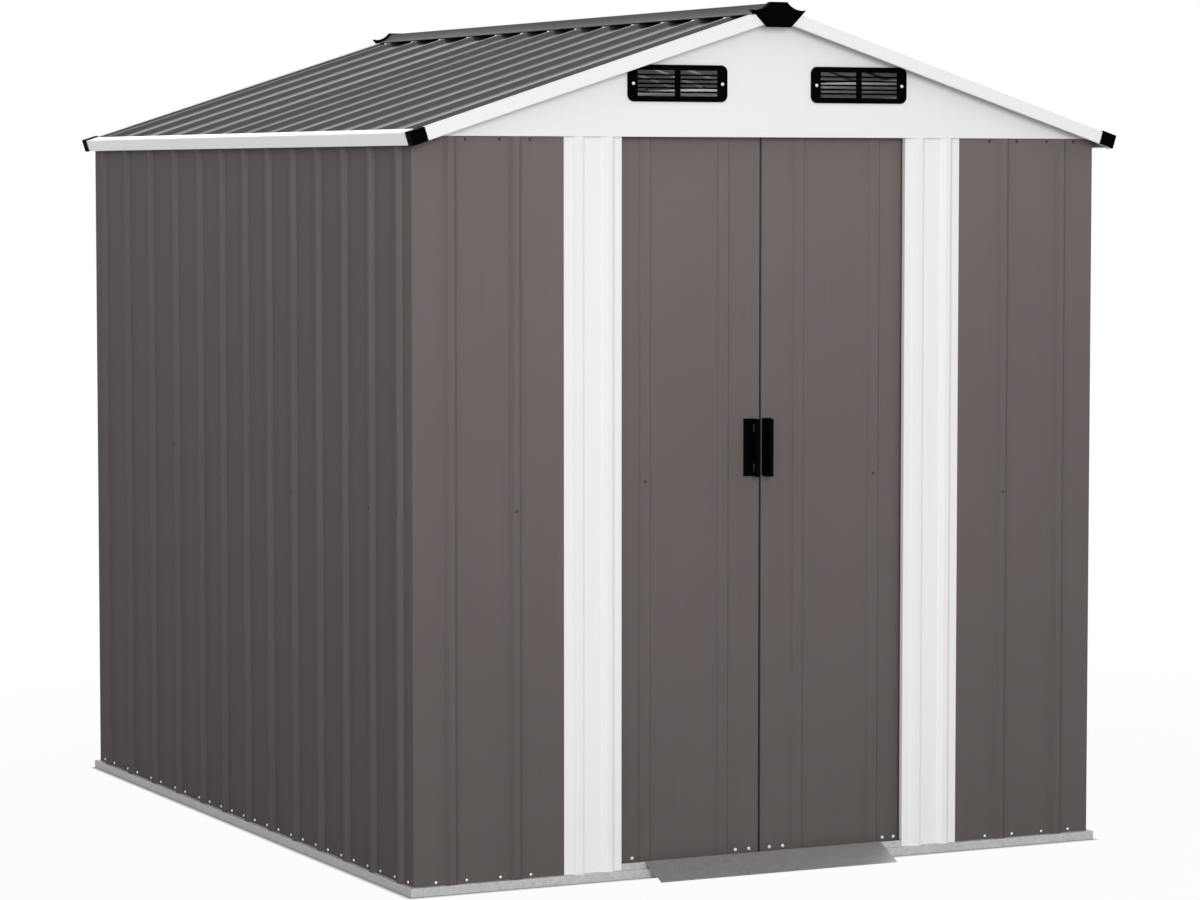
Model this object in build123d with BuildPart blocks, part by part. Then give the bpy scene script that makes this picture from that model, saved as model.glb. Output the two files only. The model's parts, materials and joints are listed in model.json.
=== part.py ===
"""Apex metal tool shed with two hung sliding doors, in millimetres.

The origin is the middle of the doorway, on the ground, in the outer face of the front wall.
+X runs to the right as seen from the front, +Y runs into the shed and +Z is up.
"""
import os
from math import atan2, cos, hypot, radians, sin, tan

from build123d import *

# Overall size, measured over the flat pans of the wall sheets
wall_width = 1700
wall_depth = 2062
wall_top = 1622
roof_pitch_deg = 17.7
sheet = 1.0
cut_overrun = 40

# Pressed ribs of the wall and roof sheets
rib_height = 9.5
rib_base = 33
rib_crest = 12
rib_pitch = 152
rear_rib_pitch = 177
side_first_rib = 66
side_last_rib = 77
side_lap = 1368
corner_return = 24
front_rib_margin = 88
back_rib_margin = 155

# Base rails
rail_height = 20
rail_overhang = 11
rail_flange = 48
rail_upstand = 14

# Doorway and the white strips beside it
doorway_width = 708
strip_width = 140
strip_rib_spacing = 72
strip_return = 13

# Sliding doors
door_setback = 25
door_lap = 25
seam_gap = 5
door_foot = 30
door_head_lap = 10
door_edge = 14
door_rib_height = 3.5
door_rib_base = 31
door_rib_crest = 23
door_rib_share = 0.511
door_rail_height = 30
door_rail_depth = 12
door_mid_lift = 41

# Door handles
handle_height = 128
handle_lift = 74
handle_flange = 21
handle_reach = 38
handle_lip = 7.5
left_handle_inset = 19
right_handle_inset = 3.5
handle_plate = 2
handle_slot_length = 20
handle_slot_width = 8
handle_slot_spacing = 88
handle_slot_inset = 9

# Top track, runners, bottom track and glides
track_rise = 18
track_web = 30
track_reach = 37
track_lip = 16
runner_length = 46
runner_inset = 46
runner_wall = 5
runner_play = 4
runner_seat_gap = 0.3
guide_width = 14
guide_height = 21
glide_thickness = 5
glide_depth = 24
glide_length = 40

# Door ramp
ramp_end_gap = 57
ramp_reach = 79
ramp_hook = 7

# Inside rails
top_rail_height = 32
top_rail_depth = 25
mid_rail_height = 40
mid_rail_depth = 13
mid_height_share = 0.507
rear_mid_lift = 66
rail_end_gap = 16

# Gables and vents
gable_heel = 2
gable_flange = 14
vent_width = 242
vent_height = 80
vent_corner = 15
vent_plate = 5
vent_spread_share = 0.266
vent_hole_clearance = 22
vent_window_width = 92
vent_window_height = 56
vent_mullion = 12
vent_hole_margin = 6
louvre_count = 5
louvre_thickness = 1.4
louvre_tilt_deg = 28

# Roof edge trims
eave_overhang = 26
front_overhang = 54
rear_overhang = 18
trim_face = 29
trim_flange = 28
trim_lip = 6
roof_edge_gap = 2
roof_ridge_gap = 12

# Roof beams
ridge_beam_half = 36
ridge_beam_drop = 30
purlin_slope_share = 0.5
purlin_flange = 34
purlin_web = 36
purlin_lip = 15

# Ridge cap and the moulded caps
ridge_crown_half = 19
ridge_crown_rise = 6
ridge_wing = 58
ridge_flange = 12
end_cap_plate = 4
end_cap_depth = 12
end_cap_top = 3
end_cap_crown_half = 20
end_cap_tip = 67
end_cap_tip_lift = 13
end_cap_sag = 7
end_cap_foot_half = 30
end_cap_drop = 46
corner_cap_wall = 2
corner_cap_rake = 35
corner_cap_eave = 24

# Sizes worked out from those above
half_width = wall_width / 2
half_doorway = doorway_width / 2
strip_outer = half_doorway + strip_width
pitch = radians(roof_pitch_deg)
roof_depth = rib_height + 2 * sheet
ridge_z = wall_top + gable_heel + half_width * tan(pitch) + roof_depth / cos(pitch)
slope_length = (half_width + eave_overhang) / cos(pitch)
roof_front = -front_overhang
roof_back = wall_depth + rear_overhang
upstand_top = rail_height + rail_upstand
gable_face = rib_height + sheet
door_inner = seam_gap / 2
door_outer = half_doorway + door_lap
door_back = door_setback + sheet
door_rail_back = door_back + door_rail_depth
door_top = wall_top + door_head_lap
track_foot = wall_top + track_rise
track_half = half_width - (track_rise + track_web) / tan(pitch)
lip_top = track_foot + track_lip
front_mid_height = wall_top * mid_height_share
rear_mid_height = front_mid_height + rear_mid_lift
door_mid_height = front_mid_height + door_mid_lift
handle_centre = door_mid_height + handle_lift

# Planes of the left roof slope: one lies in the slope, the other is square to its fall
slope_down = Vector(-cos(pitch), 0, -sin(pitch))
slope_up_normal = Vector(-sin(pitch), 0, cos(pitch))
ridge_point = Vector(0, 0, ridge_z)
slope_plane = Plane(origin=ridge_point, x_dir=slope_down, z_dir=slope_up_normal)
fall_plane = Plane(origin=ridge_point, x_dir=Vector(0, -1, 0), z_dir=slope_down)

wall_middle = Plane.XZ.offset(-wall_depth / 2)
roof_middle = Plane.XZ.offset(-(roof_front + roof_back) / 2)

pieces = {}


def under_roof(x):
    """Height of the underside of the roof sheets at a distance x from the ridge line."""
    return ridge_z - roof_depth / cos(pitch) - abs(x) * tan(pitch)


def slope_point(down, normal):
    """Place in the XZ plane of a point on the left slope."""
    return (-down * cos(pitch) - normal * sin(pitch), ridge_z - down * sin(pitch) + normal * cos(pitch))


def rib_row(first, last, spacing):
    """Rib centres from first, spaced evenly, as many as fit before last."""
    count = int((last - first) / spacing) + 1
    return [first + spacing * step for step in range(count)]


def ribbed_run(start, end, centres, height=rib_height, base=rib_base, crest=rib_crest):
    """Section of a pressed sheet as (along, outward) points."""
    points = [(start, 0)]
    for centre in centres:
        points.append((centre - base / 2, 0))
        points.append((centre - crest / 2, height))
        points.append((centre + crest / 2, height))
        points.append((centre + base / 2, 0))
    points.append((end, 0))
    return points


def folded(points, thickness=sheet):
    """Closed outline of a folded sheet whose thickness lies to the left of the path."""
    headings = []
    for (ax, ay), (bx, by) in zip(points, points[1:]):
        headings.append(atan2(by - ay, bx - ax))
    inner = []
    for index, (px, py) in enumerate(points):
        before = headings[max(index - 1, 0)]
        after = headings[min(index, len(headings) - 1)]
        turn = atan2(sin(after - before), cos(after - before)) / 2
        middle = before + turn
        reach = thickness / cos(turn)
        inner.append((px - reach * sin(middle), py + reach * cos(middle)))
    return points + inner[::-1]


def folded_sheet(plane, points, length, thickness=sheet):
    """A folded sheet of constant section, drawn out along the plane's normal."""
    with BuildPart() as made:
        with BuildSketch(plane):
            with BuildLine():
                Polyline(*folded(points, thickness), close=True)
            make_face()
        extrude(amount=length)
    return made.part


def block(plane, low, high, height):
    """A block over the rectangle from low to high on a plane."""
    with BuildPart() as made:
        with BuildSketch(plane):
            with Locations(((low[0] + high[0]) / 2, (low[1] + high[1]) / 2)):
                Rectangle(high[0] - low[0], high[1] - low[1])
        extrude(amount=height)
    return made.part


def both_sides(name, piece, left="left", right="right"):
    """Keep a left piece and its mirror image on the right."""
    pieces[name.format(left)] = piece
    pieces[name.format(right)] = piece.mirror(Plane.YZ)


# Base rails: foot flange, outer face, ledge under the wall sheet and upstand behind it,
# drawn around the wall's outer face and mitred at the corners
rail_section = [
    (-rail_flange, 0),
    (rail_overhang, 0),
    (rail_overhang, rail_height),
    (-sheet, rail_height),
    (-sheet, upstand_top),
]

front_rail_end = half_width + rail_overhang
front_rail_plane = Plane(origin=(front_rail_end, 0, 0), x_dir=(0, -1, 0), z_dir=(-1, 0, 0))
with BuildPart() as base_rail_front:
    add(folded_sheet(front_rail_plane, rail_section, 2 * front_rail_end))
    split(bisect_by=Plane(origin=(-half_width, 0, 0), z_dir=(1, -1, 0)), keep=Keep.TOP)
    split(bisect_by=Plane(origin=(half_width, 0, 0), z_dir=(-1, -1, 0)), keep=Keep.TOP)
pieces["base_rail_front"] = base_rail_front.part
pieces["base_rail_back"] = base_rail_front.part.mirror(wall_middle)

left_rail_plane = Plane(origin=(-half_width, -rail_overhang, 0), x_dir=(-1, 0, 0), z_dir=(0, 1, 0))
with BuildPart() as base_rail_left:
    add(folded_sheet(left_rail_plane, rail_section, wall_depth + 2 * rail_overhang))
    split(bisect_by=Plane(origin=(-half_width, 0, 0), z_dir=(-1, 1, 0)), keep=Keep.TOP)
    split(bisect_by=Plane(origin=(-half_width, wall_depth, 0), z_dir=(-1, -1, 0)), keep=Keep.TOP)
both_sides("base_rail_{}", base_rail_left.part)

# Door ramp: a folded plate hooked over the front rail's upstand
ramp_section = [
    (3 * sheet, upstand_top - ramp_hook),
    (3 * sheet, upstand_top + sheet),
    (0, upstand_top + sheet),
    (-ramp_reach, sheet),
]
ramp_half = half_doorway - ramp_end_gap
pieces["door_ramp"] = folded_sheet(Plane.YZ.offset(-ramp_half), ramp_section, 2 * ramp_half)

# Bottom track: a channel on the front rail's foot flange, in which the door glides run
glide_line = door_back + door_rail_depth / 2
guide_section = [
    (glide_line - guide_width / 2, sheet + guide_height),
    (glide_line - guide_width / 2, sheet),
    (glide_line + guide_width / 2, sheet),
    (glide_line + guide_width / 2, sheet + guide_height),
]
pieces["door_bottom_track"] = folded_sheet(Plane.YZ.offset(-track_half), guide_section, 2 * track_half)

# Wall sheets stand on the ledges of the base rails
wall_foot = Plane.XY.offset(rail_height)
wall_height = wall_top - rail_height


def wall_sheet(points):
    """A wall sheet from its section in plan."""
    return folded_sheet(wall_foot, points, wall_height)


front_ribs = rib_row(-half_width + front_rib_margin, -strip_outer - rib_base, rib_pitch)
front_plan = [(x, -out) for x, out in ribbed_run(-half_width, -strip_outer, front_ribs)]
both_sides("front_panel_{}", wall_sheet([(-half_width, corner_return)] + front_plan))

strip_middle = -half_doorway - strip_width / 2
strip_ribs = [strip_middle - strip_rib_spacing / 2, strip_middle + strip_rib_spacing / 2]
strip_plan = [(x, -out) for x, out in ribbed_run(-strip_outer, -half_doorway, strip_ribs)]
with BuildPart() as door_strip:
    add(wall_sheet(strip_plan + [(-half_doorway, strip_return)]))
    add(
        block(
            wall_foot,
            (-half_doorway - cut_overrun, sheet),
            (-half_doorway + cut_overrun, sheet + cut_overrun),
            rail_upstand,
        ),
        mode=Mode.SUBTRACT,
    )
both_sides("door_strip_{}", door_strip.part)

side_front_ribs = rib_row(side_first_rib, side_lap - rib_base, rib_pitch)
side_rear_ribs = rib_row(side_last_rib, wall_depth - side_lap - rib_base, rear_rib_pitch)
side_rear_ribs = [wall_depth - place for place in reversed(side_rear_ribs)]
side_front_run = ribbed_run(corner_return, side_lap, side_front_ribs)
side_rear_run = ribbed_run(side_lap, wall_depth - corner_return, side_rear_ribs)
both_sides("{}_wall_front", wall_sheet([(-half_width - out, y) for y, out in reversed(side_front_run)]))
both_sides("{}_wall_rear", wall_sheet([(-half_width - out, y) for y, out in reversed(side_rear_run)]))

back_ribs = rib_row(-half_width + back_rib_margin, -rib_base, rib_pitch)
back_run = ribbed_run(-half_width, 0, back_ribs)
back_plan = [(x, wall_depth + out) for x, out in reversed(back_run)]
both_sides("back_wall_{}", wall_sheet(back_plan + [(-half_width, wall_depth - corner_return)]))

# Rails inside the walls: channels with their webs against the sheets
def side_channel(foot, height, depth, start, end):
    """Channel along the left wall."""
    face = -half_width + sheet
    section = [(face + depth, foot + height), (face, foot + height), (face, foot), (face + depth, foot)]
    return folded_sheet(Plane.XZ.offset(-end), section, end - start)


def cross_channel(face, foot, height, depth, start, end):
    """Channel along X that opens towards +Y for a positive depth and towards -Y for a negative one."""
    section = [(face + depth, foot + height), (face, foot + height), (face, foot), (face + depth, foot)]
    if depth < 0:
        section.reverse()
    return folded_sheet(Plane.YZ.offset(start), section, end - start)


rail_start = rail_end_gap
rail_stop = wall_depth - rail_end_gap
top_rail_foot = wall_top - top_rail_height
back_face = wall_depth - sheet
top_rail_left = side_channel(top_rail_foot, top_rail_height, top_rail_depth, rail_start, rail_stop)
back_reach = half_width - sheet - top_rail_depth - rail_end_gap
with BuildPart() as top_rails:
    add(top_rail_left)
    add(top_rail_left.mirror(Plane.YZ))
    add(cross_channel(back_face, top_rail_foot, top_rail_height, -top_rail_depth, -back_reach, back_reach))
pieces["top_rails"] = top_rails.part

front_mid_foot = front_mid_height - mid_rail_height / 2
rear_mid_foot = rear_mid_height - mid_rail_height / 2
mid_reach = half_width - sheet - mid_rail_depth - sheet
mid_rail_front = side_channel(front_mid_foot, mid_rail_height, mid_rail_depth, rail_start, side_lap)
mid_rail_rear = side_channel(rear_mid_foot, mid_rail_height, mid_rail_depth, side_lap, rail_stop)
mid_rail_door = cross_channel(
    sheet, front_mid_foot, mid_rail_height, mid_rail_depth, -mid_reach, -half_doorway - 2 * sheet
)
with BuildPart() as mid_rails:
    for rail in (mid_rail_front, mid_rail_rear, mid_rail_door):
        add(rail)
        add(rail.mirror(Plane.YZ))
    add(cross_channel(back_face, rear_mid_foot, mid_rail_height, -mid_rail_depth, -back_reach, back_reach))
pieces["mid_rails"] = mid_rails.part

# Gables: a sheet in front of the wall ribs, with a foot flange that lies on the wall tops
vent_hole_width = 2 * vent_window_width + vent_mullion + vent_hole_margin
vent_hole_height = vent_window_height + vent_hole_margin
vent_x = wall_width * vent_spread_share / 2
vent_z = under_roof(vent_x + vent_hole_width / 2) - vent_hole_clearance - vent_hole_height / 2
vent_places = [(-vent_x, vent_z), (vent_x, vent_z)]


def gable(vent_holes):
    """One gable sheet, at the front of the shed, with a hole behind each vent."""
    with BuildPart() as made:
        with BuildSketch(Plane.XZ.offset(rib_height)):
            with BuildLine():
                Polyline(
                    (-half_width, wall_top),
                    (half_width, wall_top),
                    (half_width, under_roof(half_width)),
                    (0, under_roof(0)),
                    (-half_width, under_roof(half_width)),
                    close=True,
                )
            make_face()
            if vent_holes:
                with Locations(*vent_holes):
                    Rectangle(vent_hole_width, vent_hole_height, mode=Mode.SUBTRACT)
        extrude(amount=sheet)
        with BuildSketch(Plane.XY.offset(wall_top)):
            with Locations((0, (gable_flange - rib_height) / 2)):
                Rectangle(wall_width - 2 * sheet, gable_flange + rib_height)
        extrude(amount=sheet)
    return made.part


pieces["front_gable"] = gable(vent_places)
pieces["rear_gable"] = gable([]).mirror(wall_middle)

# Vents: a rounded plate with two windows, each closed by sloping louvres
louvre_pitch = vent_window_height / (louvre_count + 1)
louvre_drop = vent_plate * tan(radians(louvre_tilt_deg))


def vent(place):
    """One louvred vent on the outer face of the front gable."""
    x, z = place
    window_shift = (vent_window_width + vent_mullion) / 2
    with BuildPart() as made:
        with BuildSketch(Plane.XZ.offset(gable_face)):
            with Locations(place):
                RectangleRounded(vent_width, vent_height, vent_corner)
                with Locations((-window_shift, 0), (window_shift, 0)):
                    Rectangle(vent_window_width, vent_window_height, mode=Mode.SUBTRACT)
        extrude(amount=vent_plate)
        with BuildSketch(Plane.YZ.offset(x - window_shift - vent_window_width / 2)):
            for row in range(louvre_count):
                middle = z - vent_window_height / 2 + louvre_pitch * (row + 1)
                high = middle + louvre_drop / 2
                low = middle - louvre_drop / 2
                with BuildLine():
                    Polyline(
                        (-gable_face, high),
                        (-gable_face - vent_plate, low),
                        (-gable_face - vent_plate, low - louvre_thickness),
                        (-gable_face, high - louvre_thickness),
                        close=True,
                    )
                make_face()
        extrude(amount=2 * vent_window_width + vent_mullion)
    return made.part


pieces["vent_left"] = vent(vent_places[0])
pieces["vent_right"] = vent(vent_places[1])

# Top track: web on the gable, shelf over the doors and an upturned lip that carries the runners
track_section = [
    (-rib_height, track_foot + track_web),
    (-rib_height, track_foot),
    (track_reach, track_foot),
    (track_reach, lip_top),
]
pieces["door_track"] = folded_sheet(Plane.YZ.offset(-track_half), track_section, 2 * track_half)

# Roof sheets: ribs run down the slope, crests just under the trim flanges
pan_level = -sheet - rib_height
roof_sheet_start = roof_front + roof_edge_gap
roof_sheet_end = roof_back - roof_edge_gap
roof_fall = slope_length - roof_edge_gap - roof_ridge_gap


def roof_sheet(run):
    """One ribbed sheet of the left slope."""
    points = [(-y, pan_level + out) for y, out in run]
    return folded_sheet(fall_plane.offset(roof_ridge_gap), points, roof_fall)


# The outer edges end in half a rib, whose crest carries the rake trim's flange
rake_seat = trim_flange - roof_edge_gap
rake_flank = (rib_base - rib_crest) / 2
front_seat = roof_sheet_start + rake_seat
rear_seat = roof_sheet_end - rake_seat
front_half_rib = [(roof_sheet_start, rib_height), (front_seat, rib_height)]
rear_half_rib = [(rear_seat, rib_height), (roof_sheet_end, rib_height)]
roof_front_run = ribbed_run(front_seat + rake_flank, side_lap, side_front_ribs)
roof_rear_run = ribbed_run(side_lap, rear_seat - rake_flank, side_rear_ribs)
both_sides("roof_{}_front", roof_sheet(front_half_rib + roof_front_run))
both_sides("roof_{}_rear", roof_sheet(roof_rear_run + rear_half_rib))

# Roof beams: a ridge beam under both slopes and a purlin under each, from gable to gable
beam_start = -rib_height
beam_length = wall_depth + 2 * rib_height
beam_plane = Plane.XZ.offset(-beam_start - beam_length)
ridge_beam_foot = under_roof(ridge_beam_half) - ridge_beam_drop
ridge_beam_section = [
    (ridge_beam_half, ridge_beam_foot),
    (ridge_beam_half, under_roof(ridge_beam_half)),
    (0, under_roof(0)),
    (-ridge_beam_half, under_roof(ridge_beam_half)),
    (-ridge_beam_half, ridge_beam_foot),
]
purlin_top = slope_length * purlin_slope_share
purlin_foot = purlin_top + purlin_flange
purlin_section = [
    slope_point(purlin_top, -roof_depth),
    slope_point(purlin_foot, -roof_depth),
    slope_point(purlin_foot, -roof_depth - purlin_web),
    slope_point(purlin_foot - purlin_lip, -roof_depth - purlin_web),
]
purlin_left = folded_sheet(beam_plane, purlin_section, beam_length)
with BuildPart() as roof_beams:
    add(folded_sheet(beam_plane, ridge_beam_section, beam_length))
    add(purlin_left)
    add(purlin_left.mirror(Plane.YZ))
pieces["roof_beams"] = roof_beams.part

# Roof edge trims: eave and rake channels of one section, mitred at the corners and at the ridge
slope_rise = -slope_down
front_corner = slope_plane.from_local_coords(Vector(slope_length, -roof_front, 0))
back_corner = slope_plane.from_local_coords(Vector(slope_length, -roof_back, 0))
front_mitre = Plane(origin=front_corner, x_dir=slope_up_normal, z_dir=Vector(0, 1, 0) - slope_rise)
back_mitre = Plane(origin=back_corner, x_dir=slope_up_normal, z_dir=Vector(0, -1, 0) - slope_rise)

eave_section = [
    slope_point(slope_length - trim_flange, 0),
    slope_point(slope_length, 0),
    slope_point(slope_length, -trim_face),
    slope_point(slope_length - trim_lip, -trim_face),
]
with BuildPart() as eave_trim:
    add(folded_sheet(Plane.XZ.offset(-roof_back), eave_section, roof_back - roof_front))
    split(bisect_by=front_mitre, keep=Keep.TOP)
    split(bisect_by=back_mitre, keep=Keep.TOP)
both_sides("eave_trim_{}", eave_trim.part)


rake_section = [
    (-roof_front - trim_lip, -trim_face),
    (-roof_front, -trim_face),
    (-roof_front, 0),
    (-roof_front - trim_flange, 0),
]
with BuildPart() as rake_trim:
    add(folded_sheet(fall_plane.offset(-cut_overrun), rake_section, slope_length + cut_overrun))
    split(bisect_by=Plane.YZ, keep=Keep.BOTTOM)
    split(bisect_by=front_mitre, keep=Keep.BOTTOM)
both_sides("front_rake_{}", rake_trim.part)
both_sides("rear_rake_{}", rake_trim.part.mirror(roof_middle))

# Ridge cap: flanges on the slopes, hollow flanks and a flat crown
crown_z = ridge_z + ridge_crown_rise - sheet
flank_foot = ridge_wing - ridge_flange


def slope_z(x, lift=0):
    """Height of the trim flanges' top plane, raised square to the slope by lift."""
    return ridge_z - abs(x) * tan(pitch) + lift / cos(pitch)


def ridge_flank(lift):
    """Arc of the ridge cap's left flank, raised from its underside by lift: foot, middle and head."""
    chord_x = flank_foot - ridge_crown_half
    chord_z = crown_z - slope_z(flank_foot)
    turn = 2 * (atan2(chord_z, chord_x) - pitch)
    radius = hypot(chord_x, chord_z) / (2 * sin(turn / 2))
    centre_x = -flank_foot - radius * sin(pitch)
    centre_z = slope_z(flank_foot) + radius * cos(pitch)
    reach = radius - lift
    head_z = crown_z + lift
    head_x = centre_x + (reach**2 - (centre_z - head_z) ** 2) ** 0.5
    head_angle = atan2(head_z - centre_z, head_x - centre_x)
    foot_angle = pitch - radians(90)
    middle_angle = (head_angle + foot_angle) / 2
    foot = (centre_x + reach * cos(foot_angle), centre_z + reach * sin(foot_angle))
    middle = (centre_x + reach * cos(middle_angle), centre_z + reach * sin(middle_angle))
    return foot, middle, (head_x, head_z)


def flipped(point):
    """The point's mirror image across the ridge line."""
    return (-point[0], point[1])


def ridge_edge(lift, wing_end):
    """Lines of one face of the ridge cap, from the left wing end to the right one."""
    foot, middle, head = ridge_flank(lift)
    Line(wing_end, foot)
    ThreePointArc(foot, middle, head)
    Line(head, flipped(head))
    ThreePointArc(flipped(head), flipped(middle), flipped(foot))
    Line(flipped(foot), flipped(wing_end))


wing_low = (-ridge_wing, slope_z(ridge_wing))
wing_high = (wing_low[0] - sheet * sin(pitch), wing_low[1] + sheet * cos(pitch))
with BuildPart() as ridge_cap:
    with BuildSketch(Plane.XZ.offset(-roof_back)):
        with BuildLine():
            ridge_edge(0, wing_low)
            ridge_edge(sheet, wing_high)
            Line(wing_low, wing_high)
            Line(flipped(wing_low), flipped(wing_high))
        make_face()
    extrude(amount=roof_back - roof_front)
pieces["ridge_cap"] = ridge_cap.part

# Ridge end caps: a moulded plate over the rake joint with a hood that sits on the ridge cap
cap_top = crown_z + sheet + end_cap_top
cap_tip = (-end_cap_tip, slope_z(end_cap_tip) + end_cap_tip_lift)
cap_shoulder = (-end_cap_crown_half, cap_top)
cap_foot = (-end_cap_foot_half, ridge_z - end_cap_drop)
chord = Vector(*cap_shoulder) - Vector(*cap_tip)
cap_sag = Vector(chord.Y, -chord.X).normalized() * end_cap_sag
cap_flank = (Vector(*cap_tip) + Vector(*cap_shoulder)) / 2 + cap_sag
cap_flank = (cap_flank.X, cap_flank.Y)
hollow_reach = end_cap_tip + cut_overrun
with BuildPart() as end_cap:
    with BuildSketch(Plane.XZ.offset(-roof_front - end_cap_depth)):
        with BuildLine():
            Line(cap_foot, cap_tip)
            ThreePointArc(cap_tip, cap_flank, cap_shoulder)
            Line(cap_shoulder, flipped(cap_shoulder))
            ThreePointArc(flipped(cap_shoulder), flipped(cap_flank), flipped(cap_tip))
            Line(flipped(cap_tip), flipped(cap_foot))
            Line(flipped(cap_foot), cap_foot)
        make_face()
    extrude(amount=end_cap_depth + end_cap_plate)
    with BuildSketch(Plane.XZ.offset(-roof_front)):
        with BuildLine():
            hollow_low = (-hollow_reach, slope_z(hollow_reach) - end_cap_drop - cut_overrun)
            hollow_side = (-hollow_reach, slope_z(hollow_reach))
            ridge_edge(sheet, wing_high)
            Polyline(wing_high, wing_low, hollow_side, hollow_low, flipped(hollow_low))
            Polyline(flipped(hollow_low), flipped(hollow_side), flipped(wing_low), flipped(wing_high))
        make_face()
    extrude(amount=-end_cap_depth - cut_overrun, mode=Mode.SUBTRACT)
with BuildPart() as ridge_end_caps:
    add(end_cap.part)
    add(end_cap.part.mirror(roof_middle))
pieces["ridge_end_caps"] = ridge_end_caps.part

# Corner caps: moulded covers over the mitred corners of the trims
cap_low_s = slope_length - corner_cap_rake
cap_high_s = slope_length + corner_cap_wall
with BuildPart() as corner_cap:
    add(
        block(
            slope_plane.offset(-trim_face),
            (cap_low_s, -roof_front - corner_cap_eave),
            (cap_high_s, -roof_front + corner_cap_wall),
            trim_face + corner_cap_wall,
        )
    )
    add(
        block(
            slope_plane,
            (cap_low_s - cut_overrun, -roof_front - corner_cap_eave - cut_overrun),
            (slope_length, -roof_front),
            -trim_face - cut_overrun,
        ),
        mode=Mode.SUBTRACT,
    )
with BuildPart() as corner_caps:
    for cap in (corner_cap.part, corner_cap.part.mirror(roof_middle)):
        add(cap)
        add(cap.mirror(Plane.YZ))
pieces["corner_caps"] = corner_caps.part

# Left door: a ribbed sheet with folded edges
door_middle = -(door_inner + door_outer) / 2
door_rib_shift = (door_outer - door_inner) * door_rib_share / 2
door_ribs = [door_middle - door_rib_shift, door_middle + door_rib_shift]
door_run = ribbed_run(-door_outer, -door_inner, door_ribs, door_rib_height, door_rib_base, door_rib_crest)
door_plan = [(-door_outer, door_setback + door_edge)]
door_plan += [(x, door_setback - out) for x, out in door_run]
door_plan += [(-door_inner, door_setback + door_edge)]
both_sides("{}_door", folded_sheet(Plane.XY.offset(door_foot), door_plan, door_top - door_foot))

# Rails behind the door sheet, between its folded edges
door_rail_feet = [door_foot, door_mid_height - door_rail_height / 2, door_top - door_rail_height]
with BuildPart() as door_rails:
    for foot in door_rail_feet:
        add(
            cross_channel(
                door_back, foot, door_rail_height, door_rail_depth, -door_outer + sheet, -door_inner - sheet
            )
        )
both_sides("{}_door_rails", door_rails.part)

# Runners hooked over the track's lip and glides in the bottom track
seat_z = lip_top + runner_seat_gap
hook_front = track_reach - sheet - runner_play
hook_back = track_reach + runner_play
hook_section = [
    (door_rail_back, door_top - door_rail_height),
    (hook_back + runner_wall, door_top - door_rail_height),
    (hook_back + runner_wall, seat_z + runner_wall),
    (hook_front - runner_wall, seat_z + runner_wall),
    (hook_front - runner_wall, track_foot + sheet + runner_play),
    (hook_front, track_foot + sheet + runner_play),
    (hook_front, seat_z),
    (hook_back, seat_z),
    (hook_back, door_top),
    (door_rail_back, door_top),
]
runner_places = [-door_outer + runner_inset, -door_inner - runner_inset]
with BuildPart() as door_runners:
    for place in runner_places:
        with BuildSketch(Plane.YZ.offset(place - runner_length / 2)):
            with BuildLine():
                Polyline(*hook_section, close=True)
            make_face()
        extrude(amount=runner_length)
        with BuildSketch(Plane.XY.offset(door_foot - glide_depth)):
            with Locations((place, glide_line)):
                Rectangle(glide_length, glide_thickness)
        extrude(amount=glide_depth)
both_sides("{}_door_runners", door_runners.part)

# Handles: folded grips beside the seam, with padlock slots in the projecting flange
handle_foot = Plane.XY.offset(handle_centre - handle_height / 2)


def door_handle(inset):
    """One handle of the left door, its fold set in from the door's edge."""
    edge = -door_inner - inset
    front = door_setback - handle_reach + handle_plate
    plan = [
        (edge - handle_flange, door_setback - handle_plate),
        (edge, door_setback - handle_plate),
        (edge, front),
        (edge - handle_lip, front),
    ]
    with BuildPart() as made:
        add(folded_sheet(handle_foot, plan, handle_height, handle_plate))
        with BuildSketch(Plane.YZ.offset(edge)):
            with Locations((door_setback - handle_slot_inset, handle_centre)):
                with Locations((0, -handle_slot_spacing / 2), (0, handle_slot_spacing / 2)):
                    SlotOverall(handle_slot_length, handle_slot_width, rotation=90)
        extrude(amount=handle_plate, mode=Mode.SUBTRACT)
    return made.part


pieces["left_door_handle"] = door_handle(left_handle_inset)
pieces["right_door_handle"] = door_handle(right_handle_inset).mirror(Plane.YZ)

os.makedirs("parts", exist_ok=True)
for name, piece in pieces.items():
    piece.label = name
    export_step(piece, f"parts/{name}.step")
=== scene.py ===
import json
import bpy
import numpy as np
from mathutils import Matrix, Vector


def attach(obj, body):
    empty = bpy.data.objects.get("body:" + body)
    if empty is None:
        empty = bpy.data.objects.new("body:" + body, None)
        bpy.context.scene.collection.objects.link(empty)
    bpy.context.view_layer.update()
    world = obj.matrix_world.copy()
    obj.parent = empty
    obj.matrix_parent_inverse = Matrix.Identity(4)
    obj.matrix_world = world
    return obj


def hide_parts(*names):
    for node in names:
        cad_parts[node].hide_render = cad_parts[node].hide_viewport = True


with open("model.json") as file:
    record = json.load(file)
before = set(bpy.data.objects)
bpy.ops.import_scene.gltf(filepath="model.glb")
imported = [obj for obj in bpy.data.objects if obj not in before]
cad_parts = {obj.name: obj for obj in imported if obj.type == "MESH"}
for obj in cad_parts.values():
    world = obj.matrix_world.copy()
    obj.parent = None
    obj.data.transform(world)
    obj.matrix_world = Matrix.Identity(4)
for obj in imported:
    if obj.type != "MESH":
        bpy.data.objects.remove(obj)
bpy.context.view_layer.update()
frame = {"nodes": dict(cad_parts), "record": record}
nodes = frame["nodes"]
scene = bpy.context.scene
scene.view_settings.view_transform = "Standard"
print("frame loaded:", len(nodes), "CAD nodes")


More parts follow.
